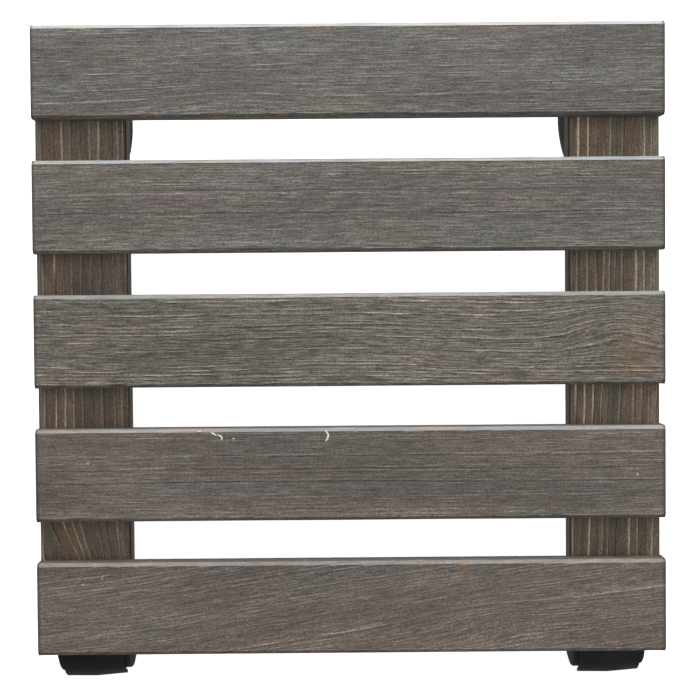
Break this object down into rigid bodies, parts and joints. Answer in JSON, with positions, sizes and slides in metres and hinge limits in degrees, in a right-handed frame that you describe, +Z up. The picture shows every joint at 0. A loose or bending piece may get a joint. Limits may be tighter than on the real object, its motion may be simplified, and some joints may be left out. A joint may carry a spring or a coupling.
{
  "type": "plant trolley",
  "caption": "Square slatted wooden trolley on twin-wheel swivel castors, braked at the front, for rolling a plant pot or box around.",
  "frame": {"origin": "centre of the deck's top face, on the middle slat", "axes": "+Z up out of the deck, the slats run along X, -Y is the front with the braked castors"},
  "size_m": [0.3021, 0.3225, 0.085],
  "materials": {
    "slat_wood": "brushed softwood, grey-brown translucent stain, satin",
    "batten_wood": "planed softwood, darker brown translucent stain, satin",
    "housing_plastic": "moulded black nylon, fine satin texture",
    "wheel_plastic": "moulded black nylon, satin",
    "zinc_steel": "bright zinc plating"
  },
  "bodies": {
    "deck": {"slat_1": "slat_wood", "slat_2": "slat_wood", "slat_3": "slat_wood", "slat_4": "slat_wood", "slat_5": "slat_wood", "batten_left": "batten_wood", "batten_right": "batten_wood", "slat_screws_left": "zinc_steel", "slat_screws_right": "zinc_steel", "front_left_plate": "zinc_steel", "front_left_plate_screws": "zinc_steel", "front_left_stem": "zinc_steel", "front_left_swivel_washer": "zinc_steel", "front_left_retaining_ring": "zinc_steel", "front_right_plate": "zinc_steel", "front_right_plate_screws": "zinc_steel", "front_right_stem": "zinc_steel", "front_right_swivel_washer": "zinc_steel", "front_right_retaining_ring": "zinc_steel", "back_left_plate": "zinc_steel", "back_left_plate_screws": "zinc_steel", "back_left_stem": "zinc_steel", "back_left_swivel_washer": "zinc_steel", "back_left_retaining_ring": "zinc_steel", "back_right_plate": "zinc_steel", "back_right_plate_screws": "zinc_steel", "back_right_stem": "zinc_steel", "back_right_swivel_washer": "zinc_steel", "back_right_retaining_ring": "zinc_steel"},
    "front_left_castor": {"front_left_housing": "housing_plastic", "front_left_axle": "zinc_steel", "front_left_pedal_pin": "zinc_steel"},
    "front_left_outer_wheel": {"front_left_outer_wheel": "wheel_plastic"},
    "front_left_inner_wheel": {"front_left_inner_wheel": "wheel_plastic"},
    "front_left_brake_pedal": {"front_left_brake_pedal": "housing_plastic"},
    "front_right_castor": {"front_right_housing": "housing_plastic", "front_right_axle": "zinc_steel", "front_right_pedal_pin": "zinc_steel"},
    "front_right_outer_wheel": {"front_right_outer_wheel": "wheel_plastic"},
    "front_right_inner_wheel": {"front_right_inner_wheel": "wheel_plastic"},
    "front_right_brake_pedal": {"front_right_brake_pedal": "housing_plastic"},
    "back_left_castor": {"back_left_housing": "housing_plastic", "back_left_axle": "zinc_steel"},
    "back_left_outer_wheel": {"back_left_outer_wheel": "wheel_plastic"},
    "back_left_inner_wheel": {"back_left_inner_wheel": "wheel_plastic"},
    "back_right_castor": {"back_right_housing": "housing_plastic", "back_right_axle": "zinc_steel"},
    "back_right_outer_wheel": {"back_right_outer_wheel": "wheel_plastic"},
    "back_right_inner_wheel": {"back_right_inner_wheel": "wheel_plastic"}
  },
  "joints": [
    {"name": "front_left_swivel", "type": "hinge", "parent": "deck", "child": "front_left_castor", "pos_m": [-0.1316, -0.1285, -0.033], "axis": [0, 0, 1], "continuous": true},
    {"name": "front_left_outer_wheel_spin", "type": "hinge", "parent": "front_left_castor", "child": "front_left_outer_wheel", "pos_m": [-0.13072, -0.14948, -0.065], "axis": [0.9991, 0.0419, 0], "continuous": true},
    {"name": "front_left_inner_wheel_spin", "type": "hinge", "parent": "front_left_castor", "child": "front_left_inner_wheel", "pos_m": [-0.13072, -0.14948, -0.065], "axis": [0.9991, 0.0419, 0], "continuous": true},
    {"name": "front_left_brake", "type": "hinge", "parent": "front_left_castor", "child": "front_left_brake_pedal", "pos_m": [-0.13093, -0.14449, -0.0485], "axis": [0.9991, 0.0419, 0], "range_deg": [-8, 0]},
    {"name": "front_right_swivel", "type": "hinge", "parent": "deck", "child": "front_right_castor", "pos_m": [0.1287, -0.1285, -0.033], "axis": [0, 0, 1], "continuous": true},
    {"name": "front_right_outer_wheel_spin", "type": "hinge", "parent": "front_right_castor", "child": "front_right_outer_wheel", "pos_m": [0.12943, -0.14949, -0.065], "axis": [0.9994, 0.0349, 0], "continuous": true},
    {"name": "front_right_inner_wheel_spin", "type": "hinge", "parent": "front_right_castor", "child": "front_right_inner_wheel", "pos_m": [0.12943, -0.14949, -0.065], "axis": [0.9994, 0.0349, 0], "continuous": true},
    {"name": "front_right_brake", "type": "hinge", "parent": "front_right_castor", "child": "front_right_brake_pedal", "pos_m": [0.12926, -0.14449, -0.0485], "axis": [0.9994, 0.0349, 0], "range_deg": [-8, 0]},
    {"name": "back_left_swivel", "type": "hinge", "parent": "deck", "child": "back_left_castor", "pos_m": [-0.1305, 0.1285, -0.033], "axis": [0, 0, 1], "continuous": true},
    {"name": "back_left_outer_wheel_spin", "type": "hinge", "parent": "back_left_castor", "child": "back_left_outer_wheel", "pos_m": [-0.13061, 0.1075, -0.065], "axis": [1, -0.0052, 0], "continuous": true},
    {"name": "back_left_inner_wheel_spin", "type": "hinge", "parent": "back_left_castor", "child": "back_left_inner_wheel", "pos_m": [-0.13061, 0.1075, -0.065], "axis": [1, -0.0052, 0], "continuous": true},
    {"name": "back_right_swivel", "type": "hinge", "parent": "deck", "child": "back_right_castor", "pos_m": [0.1268, 0.1285, -0.033], "axis": [0, 0, 1], "continuous": true},
    {"name": "back_right_outer_wheel_spin", "type": "hinge", "parent": "back_right_castor", "child": "back_right_outer_wheel", "pos_m": [0.12819, 0.10755, -0.065], "axis": [0.9978, 0.0663, 0], "continuous": true},
    {"name": "back_right_inner_wheel_spin", "type": "hinge", "parent": "back_right_castor", "child": "back_right_inner_wheel", "pos_m": [0.12819, 0.10755, -0.065], "axis": [0.9978, 0.0663, 0], "continuous": true}
  ]
}
